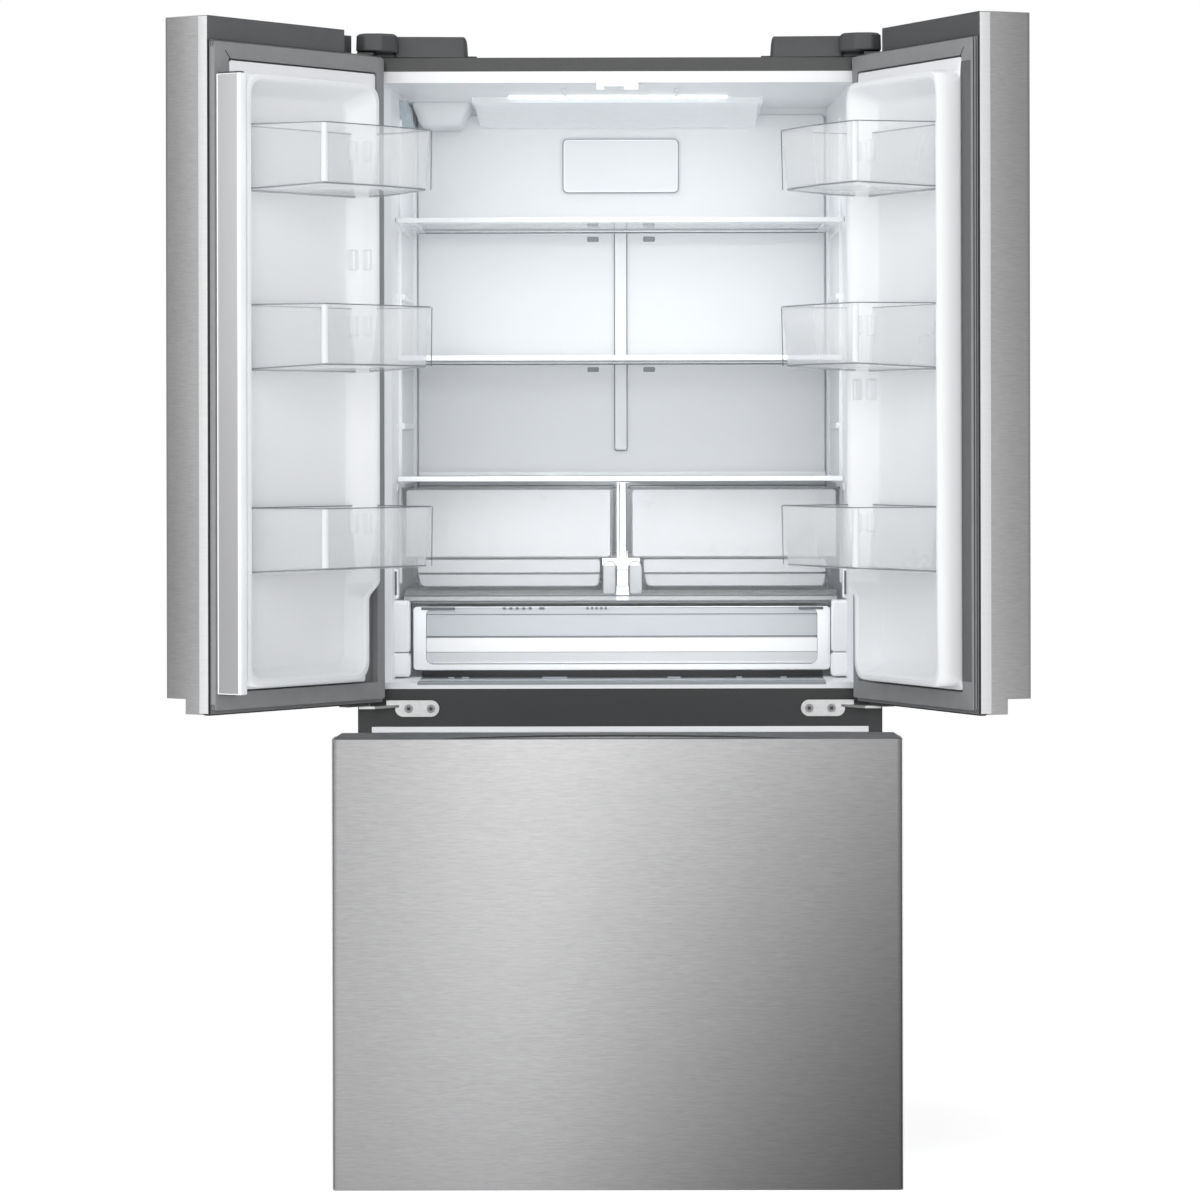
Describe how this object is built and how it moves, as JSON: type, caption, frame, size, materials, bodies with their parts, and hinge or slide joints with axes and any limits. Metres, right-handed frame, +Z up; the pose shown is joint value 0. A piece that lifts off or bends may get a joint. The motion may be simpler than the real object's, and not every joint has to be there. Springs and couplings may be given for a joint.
{
  "type": "french door refrigerator",
  "caption": "French door refrigerator with two hinged upper doors, a folding mullion flap, inner shelves and drawers, and a pull-out freezer drawer.",
  "frame": {"origin": "middle of the footprint as stored, with both doors open and the freezer drawer out, on the floor", "axes": "+Z up, +X to the viewer's right when facing the doors, +Y from the doors to the back"},
  "size_m": [1.3127, 1.258, 1.786],
  "materials": {
    "case_steel": "satin",
    "stainless": "brushed",
    "bare_steel": "zinc plated",
    "dark_plastic": "satin",
    "grey_plastic": "satin",
    "white_plastic": "satin",
    "clear_plastic": "clear",
    "shelf_glass": "clear",
    "lamp_lens": "diffusing",
    "foam": "rigid foam",
    "black_steel": "satin enamel",
    "aluminium": "mill",
    "rubber": "matte",
    "black_rubber": "matte"
  },
  "bodies": {
    "cabinet": {"air_duct": "white_plastic", "back_panel": "bare_steel", "base_plate": "bare_steel", "cabinet_wrapper": "case_steel", "compressor": "black_steel", "condenser": "black_steel", "control_housing": "white_plastic", "crisper_cover": "white_plastic", "crisper_divider": "white_plastic", "divider_rail": "case_steel", "evaporator": "aluminium", "evaporator_cover": "white_plastic", "flap_guide": "white_plastic", "freezer_liner": "white_plastic", "fridge_liner": "white_plastic", "hinge_cover_left": "dark_plastic", "hinge_cover_right": "dark_plastic", "hinge_screws": "bare_steel", "insulation": "foam", "lamp_housing": "white_plastic", "lamp_strip": "lamp_lens", "levelling_feet": "grey_plastic", "mid_hinge_left": "bare_steel", "mid_hinge_right": "bare_steel", "pantry_cover": "white_plastic", "pantry_rails": "white_plastic", "shelf_glass": "shelf_glass", "shelf_lower": "white_plastic", "shelf_upper": "white_plastic", "slide_outer": "bare_steel", "top_hinge_left": "bare_steel", "top_hinge_right": "bare_steel"},
    "left_door": {"left_door_bins": "clear_plastic", "left_door_caps": "dark_plastic", "left_door_core": "foam", "left_door_gasket": "rubber", "left_door_liner": "white_plastic", "left_door_skin": "stainless"},
    "right_door": {"right_door_bins": "clear_plastic", "right_door_caps": "dark_plastic", "right_door_core": "foam", "right_door_gasket": "rubber", "right_door_liner": "white_plastic", "right_door_skin": "stainless"},
    "flap": {"mullion_flap": "grey_plastic"},
    "freezer_drawer": {"freezer_front_skin": "stainless", "freezer_front_core": "foam", "freezer_front_liner": "white_plastic", "freezer_gasket": "rubber", "slide_inner": "bare_steel", "freezer_basket": "clear_plastic"},
    "slide_middle": {"slide_middle": "bare_steel"},
    "freezer_tray": {"freezer_tray": "white_plastic"},
    "crisper_left": {"crisper_left": "clear_plastic"},
    "crisper_right": {"crisper_right": "clear_plastic"},
    "pantry_drawer": {"pantry_drawer": "clear_plastic"},
    "roller_left": {"roller_left": "black_rubber"},
    "roller_right": {"roller_right": "black_rubber"},
    "evaporator_fan": {"evaporator_fan": "white_plastic"}
  },
  "joints": [
    {"name": "left_door_hinge", "type": "hinge", "parent": "cabinet", "child": "left_door", "pos_m": [-0.36929, -0.055, 1.24], "axis": [0, 0, -1], "range_deg": [-126, 0]},
    {"name": "right_door_hinge", "type": "hinge", "parent": "cabinet", "child": "right_door", "pos_m": [0.43371, -0.055, 1.24], "axis": [0, 0, 1], "range_deg": [-114, 12]},
    {"name": "flap_hinge", "type": "hinge", "parent": "left_door", "child": "flap", "pos_m": [-0.56024, -0.39524, 1.227], "axis": [0, 0, 1], "range_deg": [-90, 0]},
    {"name": "freezer_drawer_slide", "type": "slide", "parent": "cabinet", "child": "freezer_drawer", "axis": [0, -1, 0], "range_m": [-0.505, 0]},
    {"name": "slide_middle_slide", "type": "slide", "parent": "cabinet", "child": "slide_middle", "axis": [0, -1, 0], "range_m": [-0.2525, 0]},
    {"name": "freezer_tray_slide", "type": "slide", "parent": "cabinet", "child": "freezer_tray", "axis": [0, -1, 0], "range_m": [0, 0.32]},
    {"name": "crisper_left_slide", "type": "slide", "parent": "cabinet", "child": "crisper_left", "axis": [0, -1, 0], "range_m": [0, 0.2]},
    {"name": "crisper_right_slide", "type": "slide", "parent": "cabinet", "child": "crisper_right", "axis": [0, -1, 0], "range_m": [0, 0.2]},
    {"name": "pantry_drawer_slide", "type": "slide", "parent": "cabinet", "child": "pantry_drawer", "axis": [0, -1, 0], "range_m": [0, 0.26]},
    {"name": "roller_left_spin", "type": "hinge", "parent": "cabinet", "child": "roller_left", "pos_m": [-0.31979, 0.575, 0.021], "axis": [1, 0, 0], "continuous": true},
    {"name": "roller_right_spin", "type": "hinge", "parent": "cabinet", "child": "roller_right", "pos_m": [0.38421, 0.575, 0.021], "axis": [1, 0, 0], "continuous": true},
    {"name": "evaporator_fan_spin", "type": "hinge", "parent": "cabinet", "child": "evaporator_fan", "pos_m": [0.03221, 0.531, 0.612], "axis": [0, 1, 0], "continuous": true}
  ],
  "couplings": [
    {"joint": "flap_hinge", "follows": "left_door_hinge", "ratio": 0.71429},
    {"joint": "slide_middle_slide", "follows": "freezer_drawer_slide", "ratio": 0.5}
  ]
}
